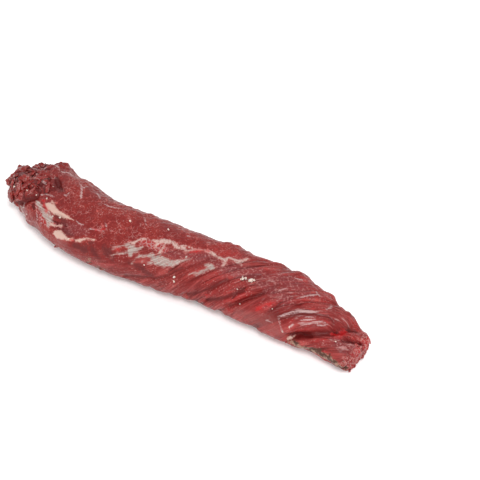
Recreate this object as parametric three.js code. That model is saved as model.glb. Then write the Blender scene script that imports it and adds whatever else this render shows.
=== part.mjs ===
// A raw hanger steak lying on its flat underside: one long muscle, cut across the grain on
// its upper left face, with its fibres running slantwise round the rest of it.
// Millimetres, Z up, length along X, the fibrous side towards -Y.
import * as THREE from 'three';
import { LoftGeometry } from 'three/addons/geometries/LoftGeometry.js';

// Sections along the length: where each stands, its sideways place, its width and its height.
const STATION_X = [-121, -112, -96, -76, -52, -24, 8, 40, 68, 90, 108, 121, 130];
const STATION_MIDDLE = [-6.5, -4, -5, -9.5, -12, -8.5, -3.3, 3.4, 7.3, 9, 9.5, 8, 7];
const STATION_WIDTH = [24, 37, 45, 48, 46, 45, 42.5, 41, 42.4, 41, 35.5, 30.5, 28];
const STATION_HEIGHT = [21, 26, 28, 30, 31, 31, 31.5, 30, 28, 26, 22, 18, 15];

// How far the top falls away towards the front, as a share of the height over the widest place.
const FALL_X = [-130, -110, -90, -30, 10, 40];
const FALL = [0, 0.1, 0.3, 0.34, 0.2, 0.05];

// The rounded-off shape of a section, and the height of its widest place as a share of its height.
const SQUARENESS = 2.5;
const WAIST = 0.44;
const UNDERSIDE = 1.12;

// The ends beyond the first and last section, and how blunt each is: the left one is round.
const LEFT_REACH = 9;
const RIGHT_REACH = 4;
const LEFT_BLUNTNESS = 2.6;
const RIGHT_BLUNTNESS = 7;
const LEFT_SLANT = 5;

// How finely the surface is laid out.
const ROWS = 84;
const END_ROWS = 8;
const ROUND = 68;

// Muscle fibre bundles: spacing across, length along, and depth of the furrows between them,
// which take up a share of the spacing.
const BUNDLE_SPACING = 6.5;
const BUNDLE_LENGTH = 46;
const BUNDLE_DEPTH = 1.6;
const FURROW_SHARE = 0.3;
const GIRTH_RADIUS = 20;

// Slant of the fibres to the length, in degrees, at places along it, and the most common one.
const FIBRE_X = [-130, -60, -25, -5, 10, 25, 60, 90, 112, 135];
const FIBRE_SLANT = [8, 12, 27, 37, 46, 54, 52, 50, 44, 46];
const USUAL_SLANT = 48;

// The seam between the cut face and the fibrous side: angle round the section against length.
const SEAM_X = [-80, -61, -44, -23, -11, 5, 25, 42, 54, 64];
const SEAM_ANGLE = [-30, 4, 24, 36, 62, 80, 92, 102, 122, 150];

// Furrows that stand out: places along and round, half width and depth.
const FURROWS = [
  { path: [[94, 10], [102, 35], [109, 48], [115, 68], [119, 92], [125, 138]], half: 2.8, depth: 3.4 },
  { path: [[124, 68], [129, 96], [134, 126]], half: 2, depth: 2.4 },
  { path: [[96, -4], [101, 12], [107, 27]], half: 2.4, depth: 2.2 },
  { path: [[-14, -14], [7, 7], [15, 28], [20, 48]], half: 2, depth: 1.3 },
  { path: [[27, -12], [41, 25], [48, 54]], half: 2, depth: 1.5 },
  { path: [[40, -6], [53, 24], [60, 47]], half: 2, depth: 1.6 },
  { path: [[55, 6], [63, 31], [70, 60]], half: 2, depth: 1.3 },
  { path: [[60, 19], [68, 44], [75, 92]], half: 1.8, depth: 1.2 },
  { path: [[79, 14], [86, 40], [92, 76]], half: 1.8, depth: 1.2 },
  { path: [[-112, -8], [-105, 6], [-101, 28], [-96, 44]], half: 2.6, depth: 3 },
  { path: [[-116, 66], [-108, 84], [-104, 112]], half: 2.4, depth: 2.2 },
  { path: [[-75, 30], [-68, 33], [-60, 36]], half: 3, depth: 1.6 },
  { path: [[-92, 66], [-88, 84], [-89, 100]], half: 3, depth: 1.4 },
];

// Swellings and hollows of the outline: place along and round, radius and height.
const SWELLINGS = [
  { x: -88, round: 152, radius: 6, height: -2.6 },
  { x: -113, round: 124, radius: 6, height: -3 },
  { x: -127, round: 125, radius: 5, height: 2 },
  { x: -118, round: 4, radius: 6, height: 1.8 },
  { x: -95, round: -13, radius: 5, height: 2.4 },
  { x: -99, round: 118, radius: 7, height: -1.2 },
  { x: 34, round: 146, radius: 8, height: 2.2 },
  { x: 70, round: 148, radius: 12, height: 1 },
  { x: 80, round: 150, radius: 5, height: 1.4 },
  { x: 92, round: 150, radius: 5, height: -1.2 },
  { x: 105, round: 156, radius: 4, height: -2.2 },
  { x: 124, round: 142, radius: 8, height: -1.2 },
  { x: 110, round: 96, radius: 9, height: 1.2 },
  { x: 100, round: 164, radius: 4, height: 1.8 },
  { x: 116, round: 155, radius: 4, height: 1 },
  { x: 130, round: 180, radius: 6, height: -2 },
  { x: 126, round: -12, radius: 6, height: -1.8 },
  { x: -121, round: 12, radius: 6, height: -3.4 },
  { x: -100, round: 150, radius: 4, height: 1.8 },
];

// The ragged point that stands out of the left end.
const POINT = new THREE.Vector3(-128, -12, 12);
const POINT_RADIUS = 3;
const POINT_REACH = 6.5;

// Colour and finish of moist raw meat.
const MEAT_COLOUR = 0x95443f;
const MEAT_ROUGHNESS = 0.45;

const toRadians = THREE.MathUtils.degToRad;
const smooth = THREE.MathUtils.smoothstep;

// A smooth curve through values at stations, held level beyond both ends.
function along(stations, values, x) {
  const last = stations.length - 1;
  const at = Math.min(Math.max(x, stations[0]), stations[last]);
  let i = 0;
  while (i < last - 1 && at >= stations[i + 1]) i += 1;
  const slope = (k) => {
    const a = Math.max(k - 1, 0);
    const b = Math.min(k + 1, last);
    return (values[b] - values[a]) / (stations[b] - stations[a]);
  };
  const gap = stations[i + 1] - stations[i];
  const t = (at - stations[i]) / gap;
  const rest = 1 - t;
  return (1 + 2 * t) * rest * rest * values[i]
    + t * rest * rest * gap * slope(i)
    + t * t * (3 - 2 * t) * values[i + 1]
    - t * t * rest * gap * slope(i + 1);
}

// Random values on a grid of whole numbers, blended between.
function gridValue(i, j, k) {
  const v = Math.sin(i * 127.1 + j * 311.7 + k * 74.7) * 43758.5453;
  return v - Math.floor(v);
}

function noise(x, y, z) {
  const i = Math.floor(x);
  const j = Math.floor(y);
  const k = Math.floor(z);
  const a = smooth(x - i, 0, 1);
  const b = smooth(y - j, 0, 1);
  const c = smooth(z - k, 0, 1);
  const mix = THREE.MathUtils.lerp;
  const edge = (dj, dk) => mix(gridValue(i, j + dj, k + dk), gridValue(i + 1, j + dj, k + dk), a);
  return mix(mix(edge(0, 0), edge(1, 0), b), mix(edge(0, 1), edge(1, 1), b), c) * 2 - 1;
}

// A row of the surface: its place along, how far it has closed and its sideways shift.
function rowShape(row) {
  const close = (n) => Math.max(Math.sin((Math.PI / 2) * (n / END_ROWS)), 0.05) ** 0.8;
  const first = STATION_X[0];
  const last = STATION_X[STATION_X.length - 1];
  if (row < END_ROWS) {
    const s = close(row);
    return { x: first - LEFT_REACH * (1 - s ** LEFT_BLUNTNESS), scale: s, shift: LEFT_SLANT * (1 - s) };
  }
  if (row > ROWS - END_ROWS) {
    const s = close(ROWS - row);
    return { x: last + RIGHT_REACH * (1 - s ** RIGHT_BLUNTNESS), scale: s, shift: 0 };
  }
  const t = (row - END_ROWS) / (ROWS - 2 * END_ROWS);
  return { x: first + (last - first) * t, scale: 1, shift: 0 };
}

// The plain body: angle 0 faces -Y, 90 is the top, 180 the back and 270 the underside.
function body(row, angle) {
  const { x, scale, shift } = rowShape(row);
  const height = along(STATION_X, STATION_HEIGHT, x);
  const half = along(STATION_X, STATION_WIDTH, x) / 2;
  const waist = WAIST * height;
  const across = Math.cos(toRadians(angle));
  const up = Math.sin(toRadians(angle));
  const tall = up > 0 ? height - waist : waist * UNDERSIDE;
  const reach = (Math.abs(across / half) ** SQUARENESS + Math.abs(up / tall) ** SQUARENESS)
    ** (-1 / SQUARENESS) * scale;
  const fall = up > 0 ? 1 - along(FALL_X, FALL, x) * smooth(across, -0.7, 0.9) : 1;
  const y = along(STATION_X, STATION_MIDDLE, x) + shift - across * reach;
  return new THREE.Vector3(x, y, waist + up * reach * fall);
}

// Distance on the surface from a place to a drawn path, in millimetres.
function distanceTo(path, x, angle) {
  let nearest = Infinity;
  const y = toRadians(angle) * GIRTH_RADIUS;
  for (let i = 1; i < path.length; i += 1) {
    const ax = path[i - 1][0];
    const ay = toRadians(path[i - 1][1]) * GIRTH_RADIUS;
    const bx = path[i][0] - ax;
    const by = toRadians(path[i][1]) * GIRTH_RADIUS - ay;
    const t = THREE.MathUtils.clamp(((x - ax) * bx + (y - ay) * by) / (bx * bx + by * by), 0, 1);
    nearest = Math.min(nearest, Math.hypot(x - ax - t * bx, y - ay - t * by));
  }
  return nearest;
}

// Distance across the fibres from the one that starts in the middle of the front.
function acrossFibres(x, angle) {
  const step = 2;
  let drift = 0;
  const steps = Math.round(Math.abs(x) / step);
  for (let i = 0; i < steps; i += 1) {
    const at = Math.sign(x) * (i + 0.5) * step;
    drift += Math.sign(x) * step * Math.tan(toRadians(along(FIBRE_X, FIBRE_SLANT, at)));
  }
  const rest = Math.abs(x) - steps * step;
  drift += Math.sign(x) * rest * Math.tan(toRadians(along(FIBRE_X, FIBRE_SLANT, x)));
  return (toRadians(angle) * GIRTH_RADIUS - drift) * Math.cos(toRadians(USUAL_SLANT));
}

// Share of fibrous surface: one below the seam and past its end, little on the cut face.
function fibrous(x, angle) {
  const seam = along(SEAM_X, SEAM_ANGLE, x);
  const below = 1 - smooth(angle, seam - 8, seam + 8);
  const past = smooth(x, 44, 66);
  const back = smooth(angle, 165, 190);
  return Math.max(below * smooth(x, -70, -30), past, back * 0.7);
}

// Height of the surface over the plain body, which fades towards the two tips.
function relief(point, angle, fade) {
  const { x, y, z } = point;
  const grain = acrossFibres(x, angle);
  const wander = noise(x / 31, y / 31, z / 31) * 2.4;
  const bundle = Math.abs(noise((grain + wander) / BUNDLE_SPACING, x / BUNDLE_LENGTH, 3.5));
  const furrow = (Math.min(bundle / FURROW_SHARE, 1) ** 0.7 - 0.8) * BUNDLE_DEPTH;
  const ragged = 1 - smooth(x, -112, -90);
  const torn = smooth(x, 112, 126);
  let lift = furrow * fibrous(x, angle) * (0.35 + 0.65 * smooth(x, -40, 30));
  for (const { path, half, depth } of FURROWS) {
    lift -= depth * Math.exp(-((distanceTo(path, x, angle) / half) ** 2));
  }
  for (const swelling of SWELLINGS) {
    const far = Math.hypot(x - swelling.x, toRadians(angle - swelling.round) * GIRTH_RADIUS);
    lift += swelling.height * Math.exp(-((far / swelling.radius) ** 2));
  }
  lift += noise(x / 27, y / 27, z / 27 + 8) * 0.6;
  lift += noise(x / 9, y / 9, z / 9 + 20) * 0.3;
  lift += noise(x / 6, y / 6, z / 6 + 40) * (1.7 * ragged + 0.9 * torn);
  return lift * fade;
}

// The finished surface: relief over the body, none where the meat lies flat on the ground.
function surface(row, angle) {
  const point = body(row, angle);
  const up = body(Math.min(row + 0.5, ROWS), angle).sub(body(Math.max(row - 0.5, 0), angle));
  const round = body(row, angle + 1).sub(body(row, angle - 1));
  const outward = up.cross(round).normalize();
  const clear = smooth(point.z, 0, 4);
  const spike = Math.exp(-((point.distanceTo(POINT) / POINT_RADIUS) ** 2));
  const fade = smooth(rowShape(row).scale, 0.1, 0.6);
  point.addScaledVector(outward, relief(point, angle, fade) * clear);
  point.x -= POINT_REACH * spike;
  point.z = Math.max(point.z, 0);
  return point;
}

function steak() {
  const sections = [];
  for (let row = 0; row <= ROWS; row += 1) {
    const section = [];
    for (let i = 0; i < ROUND; i += 1) {
      section.push(surface(row, 270 - (360 * i) / ROUND));
    }
    sections.push(section);
  }
  const geometry = new LoftGeometry(sections, { capStart: true, capEnd: true });
  geometry.computeBoundingBox();
  const middle = geometry.boundingBox.getCenter(new THREE.Vector3());
  geometry.translate(-middle.x, -middle.y, 0);
  return geometry;
}

const meat = new THREE.MeshStandardMaterial({
  color: MEAT_COLOUR,
  roughness: MEAT_ROUGHNESS,
  metalness: 0,
});
const hangerSteak = new THREE.Mesh(steak(), meat);
hangerSteak.name = 'hanger_steak';

const group = new THREE.Group();
group.name = 'hanger_steak_part';
group.add(hangerSteak);

export default group;
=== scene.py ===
"""A raw hanger steak on a plain studio floor.

The steak is one long muscle. Its upper left face is a clean cut across the grain, the rest is a weave of
fibre bundles that run slantwise round it, and a seam of fat with patches of silverskin lies between the two.
The form's own measure is millimetres: x along the steak, and an angle round it that is 0 in front, 90 on
top, 180 at the back and -90 or 270 underneath.
"""
import math

import bpy
import numpy as np
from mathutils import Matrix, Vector


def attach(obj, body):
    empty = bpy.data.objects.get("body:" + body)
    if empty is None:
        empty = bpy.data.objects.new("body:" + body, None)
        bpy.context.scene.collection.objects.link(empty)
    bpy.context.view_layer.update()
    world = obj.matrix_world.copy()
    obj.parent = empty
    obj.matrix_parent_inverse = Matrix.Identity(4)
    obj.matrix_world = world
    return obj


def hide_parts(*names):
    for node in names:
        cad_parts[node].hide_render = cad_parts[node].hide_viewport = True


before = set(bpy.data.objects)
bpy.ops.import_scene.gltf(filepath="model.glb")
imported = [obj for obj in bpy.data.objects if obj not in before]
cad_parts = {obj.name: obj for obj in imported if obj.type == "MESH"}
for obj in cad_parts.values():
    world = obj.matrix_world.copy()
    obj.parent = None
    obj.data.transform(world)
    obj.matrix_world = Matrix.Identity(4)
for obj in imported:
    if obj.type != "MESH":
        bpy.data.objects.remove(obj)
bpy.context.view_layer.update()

bl_info = {
    "name": "Raw hanger steak",
    "version": (1, 0, 0),
    "blender": (4, 5, 0),
    "location": "3D View > Sidebar > Steak",
    "description": "Builds a raw hanger steak, its crumbs of fat and its studio",
    "category": "Add Mesh",
}

MM = 0.001

# Sections along the muscle: where each stands, its sideways place, its width and its height.
STATION_X = [-121, -112, -96, -76, -52, -24, 8, 40, 68, 90, 108, 121, 130]
STATION_MIDDLE = [-6.5, -4, -5, -9.5, -12, -8.5, -3.3, 3.4, 7.3, 9, 9.5, 8, 7]
STATION_WIDTH = [24, 37, 45, 48, 46, 45, 42.5, 41, 42.4, 41, 35.5, 30.5, 28]
STATION_HEIGHT = [21, 26, 28, 30, 31, 31, 31.5, 30, 28, 26, 22, 18, 15]

# How far the top falls away towards the front, as a share of the height over the widest place.
FALL_X = [-130, -110, -90, -30, 10, 40]
FALL = [0, 0.1, 0.3, 0.34, 0.2, 0.05]
SQUARENESS = 2.5
WAIST = 0.44
UNDERSIDE = 1.12

# The ends beyond the first and last section, how blunt each is, and the share of the rows that each takes.
LEFT_REACH = 9
RIGHT_REACH = 4
LEFT_BLUNTNESS = 2.6
RIGHT_BLUNTNESS = 7
LEFT_SLANT = 5
END_SHARE = 8 / 84
ROW_STEP = 0.5 / 84

# The middle of the muscle's length and width in its own measure.
MIDDLE = (1.504, -2.293)

# Fibre bundles, with furrows over a share of their spacing, and the slant of the fibres at places along.
GIRTH_RADIUS = 20
BUNDLE_SPACING = 6.5
BUNDLE_LENGTH = 46
BUNDLE_DEPTH = 1.6
BUNDLE_STRAY = 2.4
BUNDLE_SEED = 3.5
FURROW_SHARE = 0.3
FIBRE_X = [-130, -60, -25, -5, 10, 25, 60, 90, 112, 135]
FIBRE_SLANT = [8, 12, 27, 37, 46, 54, 52, 50, 44, 46]
USUAL_SLANT = 48

# The seam between the cut face and the fibrous side: angle round the section against length.
SEAM_X = [-80, -61, -44, -23, -11, 5, 25, 42, 54, 64]
SEAM_ANGLE = [-30, 4, 24, 36, 62, 80, 92, 102, 122, 150]

# Furrows that stand out: places along and round, half width and depth.
FURROWS = [
    ([(96, 4), (104, 26), (110, 40), (116, 61), (120, 96), (124, 142)], 2.8, 3.4),
    ([(124, 68), (129, 96), (134, 126)], 2, 2.4),
    ([(96, -4), (101, 12), (107, 27)], 2.4, 2.2),
    ([(-14, -14), (7, 7), (15, 28), (20, 48)], 2, 1.3),
    ([(27, -12), (41, 25), (48, 54)], 2, 1.5),
    ([(40, -6), (53, 24), (60, 47)], 2, 1.6),
    ([(55, 6), (63, 31), (70, 60)], 2, 1.3),
    ([(60, 19), (68, 44), (75, 92)], 1.8, 1.2),
    ([(79, 14), (86, 40), (92, 76)], 1.8, 1.2),
    ([(-112, -8), (-105, 6), (-101, 28), (-96, 44)], 2.6, 3),
    ([(-116, 66), (-108, 84), (-104, 112)], 2.4, 2.2),
    ([(-75, 30), (-68, 33), (-60, 36)], 3, 1.6),
    ([(-92, 66), (-88, 84), (-89, 100)], 3, 1.4),
]

# Swellings and hollows of the outline: place along and round, radius and height.
SWELLINGS = [
    (-88, 152, 6, -2.6), (-113, 124, 6, -3), (-127, 125, 5, 2), (-118, 4, 6, 1.8), (-95, -13, 5, 2.4),
    (-99, 118, 7, -1.2), (34, 146, 8, 2.2), (70, 148, 12, 1), (80, 150, 5, 1.4), (92, 150, 5, -1.2),
    (105, 156, 4, -2.2), (124, 142, 8, -1.2), (110, 96, 9, 1.2), (100, 164, 4, 1.8), (116, 155, 4, 1),
    (130, 180, 6, -2), (126, -12, 6, -1.8), (-121, 12, 6, -3.4), (-100, 150, 4, 1.8),
]

# Where the crumbly left end gives way to the clean cut: place along against angle round.
RAGGED_ANGLE = [-90, 0, 30, 60, 90, 125, 180, 270]
RAGGED_X = [-117, -112, -108, -98, -90, -97, -103, -112]

# The usual size of the lumps there.
LUMP_SIZE = 5.2

# The ragged point that stands out of the left end.
POINT = (-128, -12, 12)
POINT_RADIUS = 3
POINT_REACH = 6.5

# Fat that stands a little proud: strokes of places along and round, with the half width at each.
SEAM_FAT = [
    [(-8, 80, 0.2), (-4, 81, 0.5), (-1, 84, 1.2), (0, 89, 1.0), (2, 86, 1.4), (6, 88, 1.1), (8, 84, 1.0),
     (11, 82, 0.9), (13, 86, 0.8), (17, 82, 0.7), (20, 89, 0.5), (23, 94, 0.5), (27, 97, 0.8), (29, 96, 0.7),
     (32, 94, 0.8), (37, 90, 0.7), (40, 88, 0.9), (40, 99, 0.7), (43, 100, 0.6), (46, 100, 0.8),
     (48, 107, 0.7), (49, 117, 0.2)],
    [(40, 88, 0.7), (41, 78, 0.4), (41, 71, 0.1)],
    [(47, 100, 0.6), (50, 94, 0.2)],
    [(9, 82, 0.5), (11, 88, 0.4), (14, 92, 0.3), (18, 92, 0.1)],
    [(-1, 84, 0.6), (-2, 78, 0.4), (-2, 68, 0.1)],
    [(-17, 61, 0.8), (-15, 66, 0.7), (-13, 74, 0.6), (-10, 79, 0.2)],
    [(3, 62, 0.7), (3, 64, 0.5), (3, 70, 0.4), (2, 78, 0.5)],
]
WEDGE_FAT = [
    [(-85, 49, 0.6), (-83, 50, 1.6), (-80, 51, 2.4), (-75, 51, 1.9), (-71, 53, 1.2), (-66, 55, 0.8),
     (-60, 58, 0.2)],
    [(-82, 60, 0.3), (-80, 58, 0.8), (-77, 56, 0.6)],
]
LOW_FAT = [
    [(-66, 18, 0.8), (-65, 22, 1.6), (-63, 22, 2.9), (-60, 22, 2.1), (-58, 24, 0.9)],
    [(-58, 24, 0.7), (-55, 24, 0.9), (-53, 26, 0.9), (-52, 29, 0.5)],
    [(-49, 30, 0.7), (-47, 32, 0.8), (-46, 36, 0.5), (-43, 42, 0.4), (-39, 44, 0.3)],
    [(-73, 29, 0.4), (-70, 30, 0.5), (-66, 38, 0.7), (-65, 38, 0.4)],
    [(95, -8, 0.5), (96, -6, 1.0), (97, -4, 0.8)],
]

# Silverskin: thin, pale and smooth, with a few drawn-out tips.
SILVERSKIN = [
    [(-20, 57, 0.4), (-18, 58, 1.0), (-15, 55, 2.0), (-14, 49, 2.2), (-13, 43, 1.3), (-12, 40, 0.3)],
    [(-15, 54, 1.6), (-11, 53, 1.2), (-10, 57, 0.5), (-9, 63, 0.1)],
    [(-18, 55, 0.8), (-21, 52, 0.4), (-23, 46, 0.3), (-25, 40, 0.1)],
    [(-15, 44, 0.9), (-18, 38, 0.4), (-21, 36, 0.3), (-23, 28, 0.1)],
    [(-1, 54, 0.9), (2, 49, 2.2), (5, 48, 3.2), (9, 47, 3.3), (12, 48, 2.4), (14, 50, 1.8), (17, 56, 1.0),
     (19, 60, 0.6), (22, 68, 0.1)],
    [(4, 53, 1.5), (3, 62, 1.0), (3, 66, 0.4)],
    [(0, 54, 1.0), (-3, 49, 0.7), (-6, 46, 0.6), (-8, 39, 0.4), (-9, 28, 0.1)],
    [(2, 39, 0.7), (-1, 38, 0.4), (-3, 36, 0.1)],
    [(12, 44, 0.9), (13, 41, 0.4)],
    [(32, 65, 0.7), (35, 66, 1.1), (37, 64, 1.0), (35, 58, 0.9), (34, 54, 0.7), (32, 48, 0.5), (29, 44, 0.4),
     (27, 40, 0.1)],
    [(34, 52, 0.5), (32, 46, 0.4), (31, 40, 0.1)],
    [(-94, 40, 0.6), (-90, 40, 1.2), (-86, 37, 1.3), (-82, 36, 1.5), (-79, 34, 1.8), (-76, 32, 1.9),
     (-74, 24, 1.2), (-72, 20, 0.3)],
    [(-83, 38, 1.1), (-79, 42, 1.0), (-76, 41, 0.5)],
    [(-78, 36, 1.0), (-75, 38, 0.6), (-73, 34, 0.3)],
]

# Webs of thin strands with red meat showing through the holes.
WEBS = [
    [(-12, 70, 1.5), (-7, 73, 2.6), (-3, 72, 3.0), (1, 72, 2.8), (4, 70, 2.0)],
    [(-84, 30, 1.6), (-79, 26, 2.2), (-74, 24, 2.0)],
    [(-71, 31, 1.2), (-66, 37, 1.6)],
]

# Patches where the tips of torn sheath lie brushed along the fibres, with painted reflections
# streaked over them.
SHEATH_TIPS_AND_SHEEN = [
    [(90, 40, 1.2), (95, 58, 2.4), (101, 74, 2.0), (105, 86, 1.0)],
    [(95, 34, 1.0), (101, 46, 2.4), (107, 58, 2.4), (113, 76, 1.0)],
    [(113, 110, 1.5), (116, 122, 2.6), (120, 134, 1.5)],
    [(76, 84, 2.0), (84, 92, 3.0), (90, 98, 2.0)],
    [(108, 104, 2.0), (114, 120, 2.6), (119, 126, 1.5)],
    [(120, 50, 2.0), (126, 56, 3.0), (130, 66, 2.0)],
    [(60, 70, 2.0), (66, 84, 2.6), (72, 98, 2.0)],
]

# Smooth pinkish film under the fibres' lower ends, and on the left edge.
FILM = [
    [(62, 10, 2.5), (70, 10, 3.5), (78, 7, 4.5), (86, 8, 4.5), (92, 4, 3.0)],
    [(-105, -2, 1.2), (-103, -1, 1.8), (-101, -4, 2.0), (-95, -4, 2.0), (-90, -3, 1.6), (-84, -2, 1.0)],
    [(-64, 5, 1.0), (-62, 6, 1.6), (-58, 10, 1.6), (-55, 14, 1.0)],
    [(72, 18, 1.6), (82, 22, 2.4), (88, 20, 2.0)],
]

# Thin pale lines of fascia and marbling.
PALE_LINES = [
    [(-111, 90, 0.5), (-109, 103, 0.5), (-109, 126, 0.7), (-104, 132, 0.6), (-99, 128, 0.7), (-96, 124, 0.7),
     (-92, 129, 0.5), (-89, 142, 0.7), (-83, 138, 0.3)],
    [(-108, 89, 0.6), (-105, 74, 0.5), (-101, 78, 0.6), (-97, 78, 0.4)],
    [(-102, 94, 0.3), (-107, 103, 0.4), (-106, 113, 0.3)],
    [(-93, 54, 0.2), (-91, 62, 0.4), (-86, 66, 0.4), (-83, 69, 0.2)],
    [(-76, 126, 0.3), (-74, 126, 0.5), (-70, 116, 0.5), (-66, 102, 0.5)],
    [(-71, 121, 0.4), (-71, 130, 0.6), (-70, 132, 0.3)],
    [(-78, 87, 0.2), (-76, 87, 0.4), (-76, 95, 0.3)],
    [(-90, 33, 0.3), (-87, 27, 0.4), (-84, 20, 0.4), (-84, 7, 0.2)],
    [(-83, 30, 0.3), (-80, 24, 0.4), (-79, 12, 0.2)],
    [(-106, 0, 0.6), (-104, 2, 0.9), (-102, 4, 0.4)],
    [(-109, -8, 0.3), (-103, -6, 0.7), (-97, -5, 0.7), (-90, -5, 0.3)],
    [(-127, 61, 0.8), (-123, 68, 0.9)],
    [(-62, 134, 0.1), (-58, 128, 0.3), (-52, 117, 0.1)],
    [(-58, 60, 0.3), (-55, 58, 0.4), (-52, 60, 0.3)],
    [(-49, 58, 0.2), (-45, 60, 0.4), (-42, 62, 0.4), (-37, 64, 0.1)],
    [(-41, 83, 0.2), (-39, 78, 0.3), (-37, 70, 0.1)],
    [(-25, 128, 0.1), (-21, 120, 0.2), (-17, 107, 0.1)],
    [(9, 116, 0.1), (11, 116, 0.3)],
    [(-50, 117, 0.2), (-47, 116, 0.4), (-43, 118, 0.4), (-40, 122, 0.2)],
    [(89, 81, 0.1), (92, 99, 0.3), (95, 114, 0.6), (97, 124, 0.3)],
    [(94, 127, 0.2), (96, 122, 0.5), (98, 121, 0.3)],
    [(86, 32, 0.3), (89, 40, 0.5), (92, 52, 0.6), (95, 62, 0.7), (100, 74, 0.6), (103, 81, 0.2)],
    [(99, 51, 0.1), (101, 58, 0.4), (104, 66, 0.1)],
    [(98, 44, 0.1), (102, 52, 0.3), (105, 60, 0.1)],
    [(104, 53, 0.1), (108, 64, 0.4), (112, 74, 0.1)],
    [(100, 37, 0.1), (104, 48, 0.3), (108, 58, 0.1)],
    [(107, 52, 0.1), (110, 60, 0.3), (112, 68, 0.1)],
    [(87, 30, 0.3), (89, 24, 0.2), (91, 16, 0.3), (92, 12, 0.6)],
    [(79, 14, 0.2), (82, 16, 0.4), (85, 18, 0.1)],
    [(96, 33, 0.3), (95, 26, 0.5)],
    [(71, 112, 0.1), (72, 123, 0.3), (74, 132, 0.1)],
    [(79, 126, 0.2), (82, 128, 0.5), (83, 132, 0.2)],
    [(106, 103, 0.2), (107, 116, 0.6), (106, 126, 0.2)],
]

# Places where fresh blood lies, and the pink stretch of the seam.
RED_SPOTS = [
    [(-89, 50, 0.3), (-86, 47, 0.9), (-82, 43, 0.8), (-80, 42, 0.4)],
    [(73, 26, 0.3), (77, 41, 0.5), (80, 50, 0.3)],
    [(117, 62, 0.8), (119, 72, 1.6), (120, 78, 2.2), (121, 92, 2.6), (122, 102, 1.0)],
    [(-44, 61, 0.3), (-41, 62, 0.6), (-38, 66, 0.4)],
    [(-23, 42, 0.5), (-22, 43, 0.5)],
    [(-53, 26, 0.6), (-52, 27, 0.6)],
    [(41, 6, 0.5), (40, 9, 0.6)],
]
PINK_SEAM = [[(18, 80, 0.3), (20, 84, 0.9), (22, 89, 1.0), (25, 95, 0.8), (27, 98, 0.3)]]

# Thin membrane over the muscle, grey and speckled.
MEMBRANE = [
    [(-10, 67, 1.6), (-7, 76, 1.8), (-3, 78, 1.5)],
    [(6, 68, 2.2), (11, 69, 3.0), (16, 70, 3.0), (21, 72, 2.6), (25, 76, 2.4), (28, 84, 2.4), (32, 84, 2.6),
     (38, 76, 3.0), (43, 74, 4.0), (47, 78, 4.6), (53, 82, 5.0), (58, 89, 4.4), (60, 96, 3.0)],
    [(66, 92, 2.0), (72, 100, 4.0), (78, 110, 5.0), (84, 112, 5.0), (90, 110, 4.0), (94, 104, 2.0)],
    [(66, 72, 2.0), (72, 71, 3.2), (80, 70, 4.0), (87, 70, 2.8)],
    [(119, 52, 1.5), (124, 50, 4), (129, 60, 4)],
    [(-60, 44, 3), (-54, 48, 4), (-48, 50, 3)],
    [(-105, -2, 1.6), (-101, -2, 2.4), (-94, -4, 2.4), (-86, -3, 1.8)],
]

# The dried strip of the old outer surface along the lower edge.
DRIED_EDGE = [
    [(95, -12, 0.8), (99, -7, 1.6), (107, -5, 2.0), (115, 1, 2.2), (123, 5, 2.4), (129, 5, 2.2),
     (132, -10, 1.4)],
    [(-108, -8, 0.6), (-98, -15, 0.9), (-86, -17, 0.9), (-72, -17, 0.8), (-60, -16, 0.6)],
    [(-40, -14, 0.4), (-38, -6, 1.0), (-37, 0, 0.6)],
    [(-33, -14, 0.7), (-28, -14, 0.9)],
]

# Patches of painted shade, where the meat is painted darker and duller.
SHADED_PATCHES = [
    [(-50, 18, 1.2), (-47, 20, 2.2), (-41, 21, 2.6)],
    [(-39, 36, 1.4), (-36, 24, 2.2), (-31, 12, 1.4)],
    [(-31, 38, 1.6), (-26, 33, 2.8), (-22, 26, 1.6)],
    [(-71, 46, 1.4), (-67, 47, 2.0), (-62, 47, 1.6)],
    [(-62, 36, 1.2), (-58, 33, 1.9), (-54, 35, 1.4)],
    [(-92, 98, 2.2), (-88, 92, 2.6), (-82, 90, 1.6)],
    [(-104, 66, 1.6), (-97, 70, 1.9), (-92, 64, 1.3)],
    [(-10, 27, 1.4), (-1, 26, 1.9), (5, 14, 1.3)],
    [(-116, 60, 2.4), (-111, 84, 2.8), (-107, 100, 2.0)],
]

# Clefts, sunk into the relief and painted dark as shade: strokes like those of the fat.
CLEFTS = [
    [(98, 0, 0.5), (101, 9, 1.0), (104, 16, 0.8), (107, 24, 0.3)],
    [(-75, 46, 0.5), (-71, 50, 0.9), (-67, 52, 0.7)],
    [(-74, 36, 0.5), (-69, 38, 0.9), (-66, 42, 0.8), (-62, 44, 0.8)],
    [(-93, 104, 1.3), (-89, 97, 1.7), (-83, 92, 0.6)],
    [(-100, 59, 1.3), (-96, 57, 1.5), (-95, 50, 0.8)],
    [(-116, 49, 1.2), (-110, 48, 0.9)],
    [(-114, 31, 0.8), (-110, 18, 0.9)],
    [(-106, 38, 0.9), (-105, 24, 0.9), (-103, 14, 0.6)],
    [(-94, 31, 1.2), (-91, 26, 0.6)],
    [(-112, 83, 0.8), (-108, 76, 0.9), (-105, 68, 0.9)],
    [(14, 32, 0.3), (16, 43, 0.6), (18, 53, 0.2)],
    [(56, 42, 0.1), (60, 52, 0.5), (63, 64, 0.1)],
    [(53, 6, 0.1), (57, 28, 0.5), (58, 50, 0.1)],
    [(74, 44, 0.1), (76, 68, 0.4), (78, 95, 0.1)],
    [(80, 33, 0.1), (83, 56, 0.5), (87, 78, 0.1)],
]

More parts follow.
